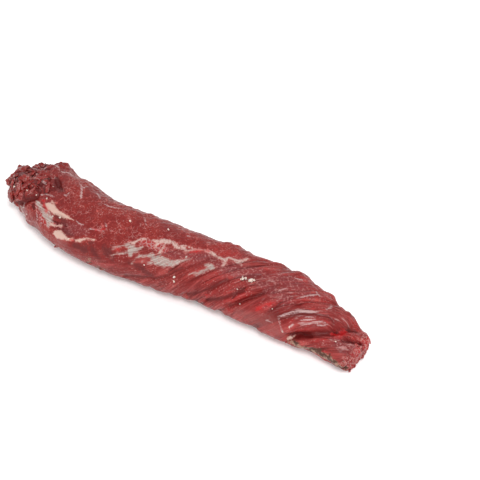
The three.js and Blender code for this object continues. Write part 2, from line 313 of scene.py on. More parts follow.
# The strokes that each depth field is worked out from, and how far outside them it is worked out.
DRAWN = {
    "fat_depth": WEDGE_FAT + LOW_FAT, "ridge_depth": SEAM_FAT, "skin_depth": SILVERSKIN,
    "line_depth": PALE_LINES, "blood_depth": RED_SPOTS + PINK_SEAM, "membrane_depth": MEMBRANE,
    "dried_depth": DRIED_EDGE, "cleft_depth": CLEFTS, "web_depth": WEBS, "sheath_sheen_depth": SHEATH_TIPS_AND_SHEEN,
    "film_depth": FILM, "shade_depth": SHADED_PATCHES,
}
FAR = 6.0

# Flaps and shreds that stand off the ends: place along and round, turn from the length, size and lift.
SCRAPS = [
    (-115, 10, 60, (11, 6, 3), 4), (-121, 100, 20, (12, 7, 3), 2), (-107, 50, 60, (12, 3.5, 2.2), 12),
    (-101, 44, 75, (9, 2.5, 2), 14), (-104, 96, 10, (12, 4, 2), 6), (-93, 74, 130, (9, 3, 1.6), 5),
    (-98, 118, 150, (11, 6, 2), 2), (-117, 66, 40, (12, 4, 2.4), 8), (-111, 36, 95, (10, 4, 2.4), 10),
    (-111, 74, 60, (10, 3, 2), 10), (-103, 76, 35, (11, 3, 2), 8), (-119, 36, 80, (9, 3, 2), 10),
    (-66, -17, 200, (4.5, 1.4, 1.2), 30), (-38, -14, 190, (3, 1, 0.8), 10), (-30, -16, 180, (3, 1.2, 1), 10),
]
SHRED_COUNT = 16
TUFT_COUNT = 18

# Crumbs of fat that lie on the meat: place along and round, and radius.
FAT_CRUMBS = [
    (-27, 102, 0.7), (19, 68, 0.7), (19, 26, 0.8), (20, 19, 0.6), (-1, 32, 0.3), (-3, 114, 0.5),
    (62, 22, 0.4), (57, 45, 0.4), (55.4, 64, 0.7), (56, 67, 0.9),
    (57, 70, 0.6), (60.4, 66, 0.6), (61, 69, 1.1), (62.2, 72, 0.8),
    (81, 40, 0.4), (92, 12, 0.6), (95, 25, 0.5), (-100, 70, 0.5), (-95, 76, 0.5), (-90, 84, 0.4),
    (-92, 75, 0.4), (-124, 66, 0.7), (-114, 34, 0.6), (-104, 42, 0.5), (-97, 48, 0.5), (-87, 57, 0.6),
    (-69, 48, 0.6), (-74, 42, 0.4), (-96, 4, 0.4), (-104, 0, 0.4), (121, 50, 0.5), (-54, 25, 0.6),
]

# Columns of points, closer on the front and top: share of a full turn against angle round.
COLUMN_SHARE = [0, 0.1, 0.78, 1]
COLUMN_ANGLE = [-90, -36, 180, 270]

# The studio in metres: the floor, lights with their place, width and power, and the light all round.
FLOOR_SIZE = 6
FLOOR_DROP = 0.0002
LIGHTS = [("key_softbox", (0.45, -0.3, 1.05), 0.4, 5.0), ("front_fill", (0.6, -0.9, 0.45), 0.4, 3.0)]
TENT_STRENGTH = 1.15
SENSOR_WIDTH_MM = 36
NEAREST_SEEN = 0.01


def linear(code):
    """A linear colour from its sRGB hex code."""
    values = [int(code[i:i + 2], 16) / 255 for i in (1, 3, 5)]
    return tuple(v / 12.92 if v <= 0.04045 else ((v + 0.055) / 1.055) ** 2.4 for v in values)


def colour(name, description, code):
    return bpy.props.FloatVectorProperty(name=name, description=description, subtype="COLOR", size=3,
                                         min=0, max=1, default=linear(code))


def length(name, description, millimetres):
    return bpy.props.FloatProperty(name=name, description=description, subtype="DISTANCE", unit="LENGTH",
                                   min=0, default=millimetres * MM)


class MuscleSettings(bpy.types.PropertyGroup):
    segments: bpy.props.IntProperty(name="Segments", description="Faces round the muscle", default=200)
    rings: bpy.props.IntProperty(name="Rings", description="Rows of faces along the muscle", default=480)
    strand_spacing: length("Strand spacing", "Distance between the strands inside a bundle", 2.4)
    strand_depth: length("Strand depth", "Depth of the furrows between strands", 0.32)
    crumble: length("Crumble", "Height of the lumps at the ragged end", 2.6)
    fat_height: length("Fat height", "How far the fat stands proud", 0.55)


class FinishSettings(bpy.types.PropertyGroup):
    lean: colour("Lean", "Cut lean meat that has darkened a little", "#7b1f1a")
    lean_fresh: colour("Fresh lean", "The redder, wetter meat towards the torn end", "#961e1e")
    lean_dull: colour("Dull lean", "The duller meat of the fibrous side's left part", "#66211e")
    # Darker lean, also laid as painted shade where the strands dip.
    deep_lean_and_shade: colour("Deep lean", "The darker fibres", "#6b1413")
    # Painted shade: the darker patches laid over the meat.
    patch_shade: colour("Dark lean", "Dull patches the colour of maroon", "#551a1a")
    # Painted shade: the dark red laid in the furrows, clefts and pits, and under the scraps.
    painted_shade: colour("Hollow", "Wet meat down in the furrows", "#4e0605")
    strand: colour("Strand", "The paler sheaths of the fibres", "#b0544e")
    # Painted sheen: the greyish-pink tint over the bands and the crests of the strands.
    painted_sheen: colour("Haze", "The greyish bloom of the fibrous side", "#8f3432")
    fat: colour("Fat", "Pinkish white fat", "#b7978b")
    ridge: colour("Ridge", "The thin fat along the seam, with meat showing through", "#b1968e")
    crumb: colour("Crumb", "Loose white crumbs of fat", "#d2bfb4")
    silverskin: colour("Silverskin", "Thin greyish white skin", "#8f7f79")
    sinew: colour("Sinew", "The whiter threads within the silverskin", "#a59992")
    # Partly painted highlights: the streaks on the sheath-tip patches and the pale threads on the crumbly
    # end.
    fascia_and_glint: colour("Fascia", "Thin whitish lines and brushed tips of sheath", "#aa8c8a")
    membrane: colour("Membrane", "Thin purplish skin over the bundles", "#6d2528")
    film: colour("Film", "Smooth pinkish film", "#7f3f3c")
    # Partly painted highlights: the tiny wet glints on the cut face and the membrane, the streaks on the
    # sheath-tip patches and on the torn end's tips.
    pink_speck_and_glint: colour("Bloom", "Pinkish specks on the thin skin", "#a8726d")
    blood: colour("Blood", "Fresh red juice", "#a51518")
    dried: colour("Dried edge", "Old outer surface, dried to tan", "#8f7160")
    dried_dark: colour("Dark dried edge", "Old outer surface where it has browned", "#4a2a1e")


class StudioSettings(bpy.types.PropertyGroup):
    azimuth: bpy.props.FloatProperty(name="Azimuth", description="Camera's turn round the steak",
                                     subtype="ANGLE", default=math.radians(37))
    elevation: bpy.props.FloatProperty(name="Elevation", description="Camera's height over the floor",
                                       subtype="ANGLE", default=math.radians(45))
    distance: length("Distance", "Camera's distance from the place it aims at", 725)
    lens: bpy.props.FloatProperty(name="Lens", description="Focal length in millimetres", default=85)
    aim: bpy.props.FloatVectorProperty(name="Aim", description="The place that the camera aims at", size=3,
                                       subtype="TRANSLATION", unit="LENGTH",
                                       default=((18.5 - MIDDLE[0]) * MM, (46 - MIDDLE[1]) * MM, 0))
    floor: colour("Floor", "Plain pale floor", "#fcfcfc")


def smooth(x, low, high):
    t = np.clip((np.asarray(x, float) - low) / (high - low), 0, 1)
    return t * t * (3 - 2 * t)


def along(stations, values, x):
    """A smooth curve through values at stations, held level beyond both ends."""
    xs, vs = np.asarray(stations, float), np.asarray(values, float)
    last = len(xs) - 1
    k = np.arange(last + 1)
    low, high = np.maximum(k - 1, 0), np.minimum(k + 1, last)
    slope = (vs[high] - vs[low]) / (xs[high] - xs[low])
    at = np.clip(x, xs[0], xs[last])
    i = np.clip(np.searchsorted(xs, at, side="right") - 1, 0, last - 1)
    gap = xs[i + 1] - xs[i]
    t = (at - xs[i]) / gap
    rest = 1 - t
    return ((1 + 2 * t) * rest * rest * vs[i] + t * rest * rest * gap * slope[i]
            + t * t * (3 - 2 * t) * vs[i + 1] - t * t * rest * gap * slope[i + 1])


def grid_value(i, j, k):
    v = np.sin(i * 127.1 + j * 311.7 + k * 74.7) * 43758.5453
    return v - np.floor(v)


def noise(x, y, z):
    """Random values on a grid of whole numbers, blended between, from -1 to 1."""
    x, y, z = np.broadcast_arrays(np.asarray(x, float), np.asarray(y, float), np.asarray(z, float))
    i, j, k = np.floor(x), np.floor(y), np.floor(z)
    a, b, c = smooth(x - i, 0, 1), smooth(y - j, 0, 1), smooth(z - k, 0, 1)

    def mix(p, q, t):
        return p + (q - p) * t

    def edge(dj, dk):
        return mix(grid_value(i, j + dj, k + dk), grid_value(i + 1, j + dj, k + dk), a)

    return mix(mix(edge(0, 0), edge(1, 0), b), mix(edge(0, 1), edge(1, 1), b), c) * 2 - 1


def row_shape(share):
    """A row's place along, how far it has closed and its sideways shift, for a share 0 to 1 of the rows."""
    first, last = STATION_X[0], STATION_X[-1]

    def close(n):
        return np.maximum(np.sin(np.pi / 2 * np.clip(n, 0, 1)), 0.004) ** 0.8

    left, right = share / END_SHARE, (1 - share) / END_SHARE
    at_left, at_right = close(left), close(right)
    t = np.clip((share - END_SHARE) / (1 - 2 * END_SHARE), 0, 1)
    x = first + (last - first) * t
    x = np.where(left < 1, first - LEFT_REACH * (1 - at_left ** LEFT_BLUNTNESS), x)
    x = np.where(right < 1, last + RIGHT_REACH * (1 - at_right ** RIGHT_BLUNTNESS), x)
    scale = np.where(left < 1, at_left, np.where(right < 1, at_right, 1))
    return x, scale, np.where(left < 1, LEFT_SLANT * (1 - at_left), 0)


def share_at(x):
    """The share of the rows at which the form stands at x."""
    shares = np.linspace(0, 1, 2001)
    return np.interp(x, row_shape(shares)[0], shares)


def body(share, angle):
    """The plain body without relief."""
    x, scale, shift = row_shape(share)
    height = along(STATION_X, STATION_HEIGHT, x)
    half = along(STATION_X, STATION_WIDTH, x) / 2
    waist = WAIST * height
    across, up = np.cos(np.radians(angle)), np.sin(np.radians(angle))
    tall = np.where(up > 0, height - waist, waist * UNDERSIDE)
    reach = np.abs(across / half) ** SQUARENESS + np.abs(up / tall) ** SQUARENESS
    reach = reach ** (-1 / SQUARENESS) * scale
    fall = np.where(up > 0, 1 - along(FALL_X, FALL, x) * smooth(across, -0.7, 0.9), 1)
    y = along(STATION_X, STATION_MIDDLE, x) + shift - across * reach
    return np.stack([x + 0 * y, y, waist + up * reach * fall], -1)


def distance_to(path, x, angle):
    """Distance on the surface from places to a drawn path."""
    best = np.full(np.shape(x), np.inf)
    y = np.radians(angle) * GIRTH_RADIUS
    for a, b in zip(path[:-1], path[1:]):
        ax, ay = a[0], np.radians(a[1]) * GIRTH_RADIUS
        bx, by = b[0] - ax, np.radians(b[1]) * GIRTH_RADIUS - ay
        t = np.clip(((x - ax) * bx + (y - ay) * by) / (bx * bx + by * by), 0, 1)
        best = np.minimum(best, np.hypot(x - ax - t * bx, y - ay - t * by))
    return best


def fibre_places(x, angle):
    """Distances along and across the fibres."""
    table = np.arange(-160, 160.5, 0.5)
    slope = np.tan(np.radians(along(FIBRE_X, FIBRE_SLANT, table)))
    drift = np.concatenate([[0], np.cumsum((slope[1:] + slope[:-1]) / 4)])
    drift -= np.interp(0, table, drift)
    girth = np.radians(angle) * GIRTH_RADIUS
    turn = np.radians(USUAL_SLANT)
    return x * np.cos(turn) + girth * np.sin(turn), (girth - np.interp(x, table, drift)) * np.cos(turn)


def fibrous_share(x, angle):
    """1 on the fibrous side, 0 on the clean cut face."""
    below = 1 - smooth(angle - along(SEAM_X, SEAM_ANGLE, x), -8, 8)
    return np.maximum.reduce([below * smooth(x, -70, -30), smooth(x, 44, 66), smooth(angle, 165, 190) * 0.7])


def bundle_height(p, angle, spacing, run, wander, seed):
    """Rounded strands along the fibres with sharp grooves between, about 0 in the mean."""
    x, y, z = p[..., 0], p[..., 1], p[..., 2]
    stray = noise(x / 31, y / 31, z / 31) * wander
    ridge = np.abs(noise((fibre_places(x, angle)[1] + stray) / spacing, x / run, seed))
    return np.minimum(ridge / FURROW_SHARE, 1) ** 0.7 - 0.8


def main_bundles(p, angle):
    """Height of the main bundles as a share of their depth, and how strongly they show."""
    x = p[..., 0]
    strength = fibrous_share(x, angle) * (0.35 + 0.65 * smooth(x, -40, 30))
    return bundle_height(p, angle, BUNDLE_SPACING, BUNDLE_LENGTH, BUNDLE_STRAY, BUNDLE_SEED), strength


def relief(p, angle):
    """Height of the muscle's main relief over the plain body."""
    x, y, z = p[..., 0], p[..., 1], p[..., 2]
    bundles, strength = main_bundles(p, angle)
    lift = bundles * BUNDLE_DEPTH * strength
    for path, half, depth in FURROWS:
        lift = lift - depth * np.exp(-((distance_to(path, x, angle) / half) ** 2))
    for at_x, at_angle, radius, height in SWELLINGS:
        far = np.hypot(x - at_x, np.radians(angle - at_angle) * GIRTH_RADIUS)
        lift = lift + height * np.exp(-((far / radius) ** 2))
    lift = lift + noise(x / 27, y / 27, z / 27 + 8) * 0.6
    lift = lift + noise(x / 9, y / 9, z / 9 + 20) * 0.3
    ends = 1.7 * (1 - smooth(x, -112, -90)) + 0.9 * smooth(x, 112, 126)
    return lift + noise(x / 6, y / 6, z / 6 + 40) * ends


def surface(share, angle, extra=0.0):
    """Points of the muscle and the way out of it, with some height on top of the main relief."""
    p = body(share, angle)
    ahead = body(np.clip(share + ROW_STEP, 0, 1), angle) - body(np.clip(share - ROW_STEP, 0, 1), angle)
    round_it = body(share, angle + 1) - body(share, angle - 1)
    out = np.cross(ahead, round_it)
    out /= np.linalg.norm(out, axis=-1, keepdims=True) + 1e-12
    fade = smooth(row_shape(share)[1], 0.1, 0.6) * smooth(p[..., 2], 0, 4)
    spike = np.exp(-((np.linalg.norm(p - np.array(POINT), axis=-1) / POINT_RADIUS) ** 2))
    q = p + out * ((relief(p, angle) + extra) * fade)[..., None]
    q[..., 0] -= POINT_REACH * spike
    q[..., 2] = np.maximum(q[..., 2], 0)
    return q, out


def ragged_share(x, angle):
    """1 at the crumbly left end, 0 on the rest."""
    return 1 - smooth(x - along(RAGGED_ANGLE, RAGGED_X, angle), -5, 5)


def lump_height(p, size):
    """Rounded lumps of several sizes with sharp clefts between, about 0 in the mean."""
    x, y, z = p[..., 0], p[..., 1], p[..., 2]
    warp = [noise(x / 5 + k, y / 5 - k, z / 5 + 3 * k) * 1.8 for k in (2, 6, 9)]
    total = 0
    for k, share in ((1, 1.0), (0.52, 0.6), (0.27, 0.2)):
        total = total + share * np.abs(noise((x + warp[0]) / (size * k), (y + warp[1]) / (size * k),
                                             (z + warp[2]) / (size * k) + 11 * k))
    return np.minimum(total / 0.8, 1.3) - 0.65


def place_on(x, angle):
    """A point of the muscle's surface and the way out of it, at a place along and round."""
    return surface(share_at(np.asarray(x, float)), np.asarray(angle, float))


def depth_inside(points, strokes):
    """How deep each point lies inside the nearest stroke, in millimetres: above 0 inside, -FAR far off."""
    best = np.full(len(points), -FAR)
    for stroke in strokes:
        marks = np.array(stroke, float)
        path = place_on(marks[:, 0], marks[:, 1])[0]
        for a, b, wide_a, wide_b in zip(path[:-1], path[1:], marks[:-1, 2], marks[1:, 2]):
            margin = FAR + max(wide_a, wide_b)
            above = points > np.minimum(a, b) - margin
            near = np.all(above & (points < np.maximum(a, b) + margin), axis=1)
            line = b - a
            off = points[near] - a
            t = np.clip(off @ line / (line @ line), 0, 1)
            away = np.linalg.norm(off - t[:, None] * line, axis=1)
            best[near] = np.maximum(best[near], wide_a + (wide_b - wide_a) * t - away)
    return best


def to_frame(points):
    """From the muscle's own measure to metres in the frame."""
    return (points - np.array([MIDDLE[0], MIDDLE[1], 0])) * MM


def new_material(name):
    made = bpy.data.materials.new(name)
    made.use_nodes = True
    made.node_tree.nodes.clear()
    return made, made.node_tree


def add(tree, kind, inputs=None, **settings):
    """Adds a node with its settings. An input is a value, a socket or a node, and a colour has no alpha."""
    made = tree.nodes.new("ShaderNode" + kind)
    for name, value in settings.items():
        setattr(made, name, value)
    for name, value in (inputs or {}).items():
        socket = made.inputs[name]
        if isinstance(value, bpy.types.Node):
            value = next(output for output in value.outputs if output.enabled)
        if isinstance(value, bpy.types.NodeSocket):
            tree.links.new(value, socket)
        else:
            socket.default_value = (*value, 1) if socket.type == "RGBA" else value
    return made


def product(tree, *parts):
    """Multiplies its parts: sockets, nodes, numbers, or a value with the two levels between which it rises
    smoothly from 0 to 1, or to a top that comes last."""
    result = None
    for part in parts:
        if isinstance(part, tuple):
            value, low, high, top = (*part, 1.0)[:4]
            part = add(tree, "MapRange", {"Value": value, "From Min": low, "From Max": high, "To Max": top},
                       interpolation_type="SMOOTHSTEP")
        if result is not None:
            part = add(tree, "Math", {0: result, 1: part}, operation="MULTIPLY")
        result = part
    return result


def layers(tree, under, *overs):
    """Lays colours over one another in turn. Each stands before the parts whose product is its share."""
    for over, *parts in overs:
        under = add(tree, "Mix", {0: product(tree, *parts), 6: under, 7: over}, data_type="RGBA")
    return under


def cover(tree, field, rough, soft, waver, grit):
    """Share 0 to 1 of a layer from its depth field. The edge wavers and is broken over rough millimetres."""
    depth = add(tree, "Attribute", attribute_name=field).outputs["Fac"]
    broken = add(tree, "Math", {0: waver, 1: rough * MM, 2: depth}, operation="MULTIPLY_ADD")
    broken = add(tree, "Math", {0: grit, 1: rough * 0.6 * MM, 2: broken}, operation="MULTIPLY_ADD")
    return product(tree, (broken, -soft * MM, soft * MM))


def speckle(tree, where, size, seed, detail=3):
    """Noise from -0.5 to 0.5, with grains of a size in millimetres."""
    moved = add(tree, "Mapping", {"Vector": where, "Location": (seed, seed * 0.7, -seed)})
    value = add(tree, "TexNoise", {"Vector": moved, "Scale": 1 / (size * MM), "Detail": detail})
    return add(tree, "Math", {0: value, 1: 0.5}, operation="SUBTRACT")


def streaks(tree, grain, run, spacing, seed, detail=2):
    """Noise from -0.5 to 0.5, drawn out along the fibres over a run and a spacing in millimetres."""
    stretched = add(tree, "Mapping", {"Vector": grain, "Location": (seed, seed, seed),
                                      "Scale": (1 / (run * MM), 1 / (spacing * MM), 1)})
    value = add(tree, "TexNoise", {"Vector": stretched, "Scale": 1, "Detail": detail})
    return add(tree, "Math", {0: value, 1: 0.5}, operation="SUBTRACT")


# Raw beef: wet protein fibres with thin pale sheaths. The eye sees streaks along the grain, a dull
# bloom with small wet glints over it, dark red in the furrows, and matt greasy white where fat lies.
# Here the bloom is painted sheen, many glints are painted highlights, and the furrows' dark red is
# painted shade.
def raw_beef(look):
    made, tree = new_material("raw_beef")
    where = add(tree, "TexCoord").outputs["Object"]
    place = add(tree, "SeparateXYZ", {"Vector": where}).outputs["X"]
    grain = add(tree, "Attribute", attribute_name="grain").outputs["Vector"]
    cut, painted_shade, ragged = [add(tree, "Attribute", attribute_name=name).outputs["Fac"]
                           for name in ("cut_face", "painted_shade", "ragged")]

    # Blotches, wavering edges, grit and pores, then streaks from single fibres to bundles.
    broad = speckle(tree, where, 14, seed=0.3)
    waver = speckle(tree, where, 3.2, seed=1.7)
    grit = speckle(tree, where, 0.9, seed=4.1, detail=2)
    pores = speckle(tree, where, 1.4, seed=6.1, detail=4)
    scum = speckle(tree, where, 2.4, seed=7.7)
    dots = speckle(tree, where, 1.3, seed=9.1)
    fine = streaks(tree, grain, 11, 0.5, seed=2.0)
    strands = streaks(tree, grain, 18, 2.2, seed=5.0, detail=3)
    bands = streaks(tree, grain, 42, 6.5, seed=8.0, detail=3)
    sheen = streaks(tree, grain, 9, 1.7, seed=12.0)

    # The fibres show on the fibrous side, less towards the left, and more in some patches than in others.
    fibrous = add(tree, "Math", {0: 1.0, 1: cut}, operation="SUBTRACT")
    coarse = add(tree, "MapRange", {"Value": place, "From Min": -50 * MM, "From Max": 40 * MM,
                                    "To Min": 0.3})
    combed = product(tree, (speckle(tree, where, 15, seed=3.3, detail=2), 0.1, -0.1))
    combed = add(tree, "Math", {0: combed, 1: 0.6, 2: 0.4}, operation="MULTIPLY_ADD")
    fibres = product(tree, fibrous, coarse, combed)

    # Sheaths round the bundles where they are cut across, loose threads, and the torn end's fibre tips;
    # on the crumbly end the threads, and the tips, are partly painted highlights.
    swirl = add(tree, "TexNoise", {"Vector": where, "Scale": 1 / (4 * MM)}).outputs["Color"]
    bent = add(tree, "Mix", {0: 0.002, 4: where, 5: swirl}, data_type="VECTOR")
    sheath, hole = [add(tree, "TexVoronoi", {"Vector": bent, "Scale": 1 / (size * MM)},
                        feature="DISTANCE_TO_EDGE") for size in (5.5, 2.6)]
    bare = add(tree, "Math", {0: cut, 1: ragged}, operation="MAXIMUM")
    sparse = speckle(tree, where, 5, seed=2.2, detail=2)
    thread = product(tree, (hole, 0.07, 0.0, 0.6), (sparse, 0.02, 0.12))
    tips = streaks(tree, where, 3, 1.1, seed=3.0, detail=3)
    tips = add(tree, "Math", {0: tips, 1: grit}, operation="ADD")
    meat = layers(
        tree, look.lean,
        (look.lean_fresh, (place, -10 * MM, 90 * MM)),
        (look.lean_dull, fibrous, (place, 60 * MM, -30 * MM, 0.75)),
        (look.deep_lean_and_shade, (broad, 0.1, -0.1, 0.8)),
        (look.deep_lean_and_shade, (waver, 0.0, 0.14, 0.5)),
        # Painted shade in the pits where the bump dips.
        (look.painted_shade, (pores, 0.0, 0.14, 0.25)),
        (look.strand, (pores, -0.04, -0.14, 0.12)),
        (look.deep_lean_and_shade, (bands, 0.02, -0.1, 0.8), fibrous),
        # Painted sheen over the bands and the crests of the strands.
        (look.painted_sheen, (bands, 0.02, 0.12, 0.7), fibrous),
        (look.painted_sheen, (strands, 0.0, 0.14, 0.7), fibres),
        # Painted shade where the strands dip, as the bump does.
        (look.deep_lean_and_shade, (strands, 0.0, -0.12, 0.7), fibres),
        (look.strand, (fine, 0.0, 0.16, 0.6), fibres),
        # Painted shade in the fine grooves that the bump also cuts.
        (look.painted_shade, (fine, 0.0, -0.14, 0.5), fibres),
        (look.strand, (sheath, 0.04, 0.0, 0.8), (waver, 0.0, 0.1), bare),
        (look.pink_speck_and_glint, thread, cut),
        # Thin white threads on the crumbly end, partly painted highlights.
        (look.fascia_and_glint, thread, ragged),
        # Pale streaks on the torn end's fibre tips, partly painted highlights.
        (look.pink_speck_and_glint, (place, 126 * MM, 129 * MM), (tips, -0.04, 0.16, 0.75)),
        # Painted highlights: tiny pale flecks that stand for wet glints.
        (look.pink_speck_and_glint, (grit, 0.11, 0.17, 0.7), (broad, -0.08, 0.06)),
        # Painted shade in the furrows and clefts, between the ragged end's lumps and under the scraps.
        (look.painted_shade, (painted_shade, 0.3, 0.85, 0.85)),
        (look.silverskin, (scum, 0.06, 0.16, 0.3), ragged),
    )

    # What lies on the meat: films, patches of painted shade, membrane with pale specks that are partly
    # painted glints, the dried edge, sheath tips with painted reflections, lines and webs, then skin and
    # fat, each with a pinkish margin, and blood on top.
    veil = cover(tree, "membrane_depth", 8.0, 2.0, waver, grit)
    aged = layers(tree, look.dried, (look.dried_dark, (waver, -0.05, 0.08)))
    sheath_and_sheen = cover(tree, "sheath_sheen_depth", 8.0, 1.5, waver, fine)
    web = cover(tree, "web_depth", 6.0, 1.0, waver, grit)
    skin = product(tree, cover(tree, "skin_depth", 3.5, 0.9, waver, fine), (grit, -0.25, 0.0, 0.95))
    sinewy = layers(tree, look.silverskin, (look.sinew, (fine, -0.06, 0.1)))
    ridge = product(tree, cover(tree, "ridge_depth", 3.5, 0.8, waver, grit), (grit, -0.25, -0.02, 0.95))
    fat = cover(tree, "fat_depth", 3.0, 0.7, waver, grit)
    blood = cover(tree, "blood_depth", 6.0, 1.0, waver, grit)
    dressed = layers(
        tree, meat,
        (look.film, cover(tree, "film_depth", 6.0, 2.4, waver, grit), 0.6),
        # Painted shade: darker patches.
        (look.patch_shade, cover(tree, "shade_depth", 7.0, 1.6, waver, grit), 0.85),
        (look.membrane, veil, 0.6),
        # Pale specks on the membrane, partly painted wet glints.
        (look.pink_speck_and_glint, veil, (dots, 0.01, 0.14, 0.5)),
        (aged, cover(tree, "dried_depth", 6.0, 0.7, waver, grit)),
        # Painted reflections streaked over the sheath-tip patches.
        (look.pink_speck_and_glint, sheath_and_sheen, (sheen, 0.0, 0.1, 0.3)),
        (look.fascia_and_glint, sheath_and_sheen, (sheen, 0.07, 0.14, 0.45)),
        (look.fascia_and_glint, cover(tree, "line_depth", 2.5, 0.4, fine, grit), 0.8),
        (look.blood, web, 0.35),
        (look.fascia_and_glint, web, (hole, 0.14, 0.03, 0.6)),
        (look.strand, cover(tree, "skin_depth", 7.0, 1.8, waver, fine), 0.5),
        (sinewy, skin),
        (look.strand, cover(tree, "ridge_depth", 7.0, 1.8, waver, grit), 0.6),
        (look.ridge, ridge),
        (look.strand, cover(tree, "fat_depth", 5.0, 1.5, waver, grit), 0.55),
        (look.fat, fat),
        (look.blood, blood, 0.7),
    )

    # Juice makes some places smoother, fat and skin are even, and blood is the wettest.
    pale = add(tree, "Math", {0: fat, 1: skin}, operation="MAXIMUM")
    wet = add(tree, "MapRange", {"Value": waver, "From Min": -0.12, "From Max": 0.12, "To Min": 0.3,
                                 "To Max": 0.55})
    rough = add(tree, "Mix", {0: pale, 2: wet, 3: 0.45})
    rough = add(tree, "Mix", {0: blood, 2: rough, 3: 0.16})

    height = product(tree, fine, fibres)
    height = add(tree, "Math", {0: pores, 1: -0.4, 2: height}, operation="MULTIPLY_ADD")
    height = add(tree, "Math", {0: strands, 1: 0.8, 2: height}, operation="MULTIPLY_ADD")
    bump = add(tree, "Bump", {"Strength": 0.9, "Distance": 0.7 * MM, "Height": height})
    shader = add(tree, "BsdfPrincipled", {
        "Base Color": dressed, "Roughness": rough, "IOR": 1.4, "Normal": bump,
        "Specular IOR Level": 0.22, "Subsurface Weight": 0.05, "Subsurface Radius": (1.0, 0.25, 0.15),
        "Subsurface Scale": 1 * MM, "Coat Weight": 0.15, "Coat Roughness": 0.12, "Coat IOR": 1.4,
    })
    add(tree, "OutputMaterial", {"Surface": shader})
    return made


# Hard kidney fat: crumbly, waxy and nearly white, so it scatters light and hardly shines.
def crumbled_fat(look):
    made, tree = new_material("crumbled_fat")
    where = add(tree, "TexCoord").outputs["Object"]
    patchy = speckle(tree, where, 0.9, seed=2.9)
    shade = layers(tree, look.crumb, (look.silverskin, (patchy, -0.05, 0.2, 0.6)))
    bump = add(tree, "Bump", {"Strength": 0.5, "Distance": 0.15 * MM, "Height": patchy})
    shader = add(tree, "BsdfPrincipled", {
        "Base Color": shade, "Roughness": 0.5, "IOR": 1.45, "Normal": bump,
        "Subsurface Weight": 0.25, "Subsurface Radius": (1.0, 0.7, 0.5), "Subsurface Scale": 1 * MM,
    })
    add(tree, "OutputMaterial", {"Surface": shader})
    return made


# Matt painted board: even, pale, and without gloss.
def painted_board(tone):
    made, tree = new_material("painted_board")
    shader = add(tree, "BsdfPrincipled", {"Base Color": tone, "Roughness": 0.9, "Specular IOR Level": 0.1})
    add(tree, "OutputMaterial", {"Surface": shader})
    return made


def finish_piece(piece, name, material):
    piece.name = name
    piece.data.name = name
    piece.data.materials.clear()
    piece.data.materials.append(material)
    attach(piece, "root")


def vertex_places(mesh):
    places = np.zeros(len(mesh.vertices) * 3)
    mesh.vertices.foreach_get("co", places)
    return places.reshape(-1, 3)


def write_field(mesh, name, values):
    mesh.attributes.new(name, "FLOAT", "POINT").data.foreach_set("value", np.asarray(values, np.float32))


def write_grain(mesh, ahead, across):
    """Writes distances along and across the fibres, which the streaks follow."""
    grain = np.stack([ahead, across, np.zeros(len(ahead))], -1) * MM
    held = mesh.attributes.new("grain", "FLOAT_VECTOR", "POINT")
    held.data.foreach_set("vector", grain.astype(np.float32).ravel())


def roughen(piece, texture, depth):
    """Moves a piece's points in and out by a texture that is fixed in space."""
    wear = piece.modifiers.new("wear", "DISPLACE")
    wear.texture = texture
    wear.texture_coords = "GLOBAL"
    wear.strength = depth * MM
    bpy.ops.object.modifier_apply(modifier=wear.name)


def join_all(pieces):
    for piece in pieces:
        piece.select_set(True)
    bpy.ops.object.join()
    bpy.ops.object.shade_smooth()
    return bpy.context.active_object


